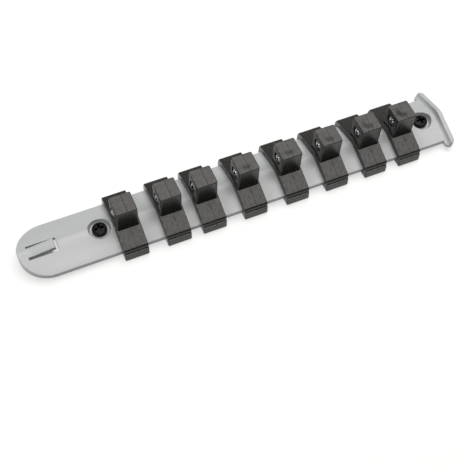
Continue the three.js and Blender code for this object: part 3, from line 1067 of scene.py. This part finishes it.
# Detent balls and springs
# A polished steel ball stands a little proud of each mouth, with a coil spring behind it in the
# post. Both are made by a tree, once for each clip.
coil_turns = 5
wire_radius = 0.25 * mm

ball_steel = steel_material(
    "ball_steel", (0.28, 0.28, 0.285), (0.36, 0.36, 0.36), 1, 0.5, (0.08, 0.2),
    0.3 * mm, 1.5 * mm)
spring_steel = steel_material(
    "spring_steel", (0.34, 0.34, 0.35), (0.50, 0.50, 0.50), 1, 0.5, (0.08, 0.2),
    0.3 * mm, 1.5 * mm)

ball_tree, given, ball_sockets = begun_tree("detent_ball", {
    "Radius": "Float", "Place": "Vector", "Material": "Material"})
sphere = ball_tree.nodes.new("GeometryNodeMeshUVSphere")
sphere.inputs["Segments"].default_value = 48
sphere.inputs["Rings"].default_value = 32
ball_tree.links.new(given["Radius"], sphere.inputs["Radius"])
smooth = ball_tree.nodes.new("GeometryNodeSetShadeSmooth")
ball_tree.links.new(sphere.outputs["Mesh"], smooth.inputs["Geometry"])
move = ball_tree.nodes.new("GeometryNodeTransform")
ball_tree.links.new(smooth.outputs["Geometry"], move.inputs["Geometry"])
ball_tree.links.new(given["Place"], move.inputs["Translation"])
end_tree(ball_tree, given, move.outputs["Geometry"])

spring_tree, given, spring_sockets = begun_tree("detent_spring", {
    "Turns": "Float", "Coil radius": "Float", "Wire radius": "Float", "Length": "Float",
    "Place": "Vector", "Material": "Material"})
coil = spring_tree.nodes.new("GeometryNodeCurveSpiral")
coil.inputs["Resolution"].default_value = 24
spring_tree.links.new(given["Turns"], coil.inputs["Rotations"])
spring_tree.links.new(given["Coil radius"], coil.inputs["Start Radius"])
spring_tree.links.new(given["Coil radius"], coil.inputs["End Radius"])
spring_tree.links.new(given["Length"], coil.inputs["Height"])
wire = spring_tree.nodes.new("GeometryNodeCurvePrimitiveCircle")
wire.inputs["Resolution"].default_value = 8
spring_tree.links.new(given["Wire radius"], wire.inputs["Radius"])
sweep = spring_tree.nodes.new("GeometryNodeCurveToMesh")
sweep.inputs["Fill Caps"].default_value = True
spring_tree.links.new(coil.outputs["Curve"], sweep.inputs["Curve"])
spring_tree.links.new(wire.outputs["Curve"], sweep.inputs["Profile Curve"])
lay = spring_tree.nodes.new("GeometryNodeTransform")
lay.inputs["Rotation"].default_value = (0, pi / 2, 0)
spring_tree.links.new(sweep.outputs["Mesh"], lay.inputs["Geometry"])
spring_tree.links.new(given["Place"], lay.inputs["Translation"])
end_tree(spring_tree, given, lay.outputs["Geometry"])

for number in clip_numbers:
    low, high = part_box(f"clip_ball_{number}")
    ball = made_by(ball_tree, ball_sockets, {
        "Radius": (high.x - low.x) / 2, "Place": (low + high) / 2, "Material": ball_steel},
        f"ball_{number}")
    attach(ball, f"ball_body_{number}")
    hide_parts(f"clip_ball_{number}")
    low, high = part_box(f"clip_spring_{number}")
    spring = made_by(spring_tree, spring_sockets, {
        "Turns": coil_turns, "Coil radius": (high.z - low.z) / 2 - wire_radius,
        "Wire radius": wire_radius, "Length": high.x - low.x - 2 * wire_radius,
        "Place": (low.x + wire_radius, post_middle, ball_height), "Material": spring_steel},
        f"spring_{number}")
    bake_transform(spring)
    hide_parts(f"clip_spring_{number}")


# Floor and light
# A plain white sheet that curves up to a low wall all round, a wide softbox overhead, a little to
# the back right, a smaller one at the left for the balls, and a faint even world.
floor_height = -0.02 * mm
floor_reach = 3
floor_bend = 0.6
wall_height = 0.75
# The painted shade under the stop's root: its centre, and the distances over which it fades out
painted_shade_place = Vector((stop_root + 5 * mm, 0, 0))
painted_shade_reach = (7.5 * mm, 10.5 * mm)
sheet = [(floor_reach, wall_height, -1, 0)]
sheet += [(floor_reach - floor_bend * (1 - cos(a)), floor_bend * (1 - sin(a)),
           -cos(a), sin(a)) for a in quarter_angles(12)]
sheet += [(reach, floor_height, 0, 1) for reach in (1.5, 0.8, 0.4, 0)]

floor_white = bpy.data.materials.new("floor_white")
floor_white.use_nodes = True
tree = floor_white.node_tree
lit = tree.nodes["Principled BSDF"]
shown = tree.nodes.new("ShaderNodeBsdfPrincipled")
for surface, level in ((lit, 0.45), (shown, 0.4)):
    surface.inputs["Base Color"].default_value = (level, level, level, 1)
    surface.inputs["Roughness"].default_value = 0.9
    surface.inputs["Specular IOR Level"].default_value = 0
shown.inputs["Emission Strength"].default_value = 1


def distance_from(tree, point):
    """How far each spot of a surface lies from a point, as a value of its material."""
    place = tree.nodes.new("ShaderNodeTexCoord")
    apart = tree.nodes.new("ShaderNodeVectorMath")
    apart.operation = "DISTANCE"
    apart.inputs[1].default_value = point
    tree.links.new(place.outputs["Object"], apart.inputs[0])
    return apart.outputs["Value"]


# The sheet glows a little less round the rail, and a painted shade darkens it much more under the
# stop's root, where hardly any light reaches it, so that the stop's slits look dark
glow = ranged(tree, distance_from(tree, (0, 0, 0)), (0.3, 1.6), (0.62, 0.97))
shade = ranged(tree, distance_from(tree, painted_shade_place), painted_shade_reach, (0.15, 1), True)
tree.links.new(worked_out(tree, "MULTIPLY", glow, shade), shown.inputs["Emission Color"])
rays = tree.nodes.new("ShaderNodeLightPath")
seen = worked_out(tree, "MAXIMUM", rays.outputs["Is Camera Ray"], rays.outputs["Is Glossy Ray"])
seen = worked_out(tree, "MAXIMUM", seen, rays.outputs["Is Transmission Ray"])
mix = tree.nodes.new("ShaderNodeMixShader")
tree.links.new(seen, mix.inputs["Fac"])
tree.links.new(lit.outputs["BSDF"], mix.inputs[1])
tree.links.new(shown.outputs["BSDF"], mix.inputs[2])
tree.links.new(mix.outputs["Shader"], tree.nodes["Material Output"].inputs["Surface"])
floor = lathed(sheet, 0, 96).piece("floor", floor_white)
floor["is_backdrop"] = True

world = bpy.data.worlds.new("world")
world.use_nodes = True
world.node_tree.nodes["Background"].inputs["Color"].default_value = (0.92, 0.96, 1.0, 1)
world.node_tree.nodes["Background"].inputs["Strength"].default_value = 0.11
bpy.context.scene.world = world


def softbox(name, place, aim, width, depth, power):
    """A rectangular lamp that faces a point. One straight over it keeps its sides along X and Y."""
    data = bpy.data.lights.new(name, "AREA")
    data.shape = "RECTANGLE"
    data.size = width
    data.size_y = depth
    data.energy = power
    data.color = (1, 0.97, 0.93)
    lamp = placed(name, data)
    lamp.location = place
    lamp.rotation_euler = (Vector(aim) - Vector(place)).to_track_quat("-Z", "Y").to_euler()


softbox("overhead", (0.29, 0.28, 1.0), (0.29, 0.28, 0), 1.13, 1.2, 14.5)
softbox("side", (-1.0, -0.1, 0.65), (0, 0, 0), 0.5, 0.5, 3.6)

low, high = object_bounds()
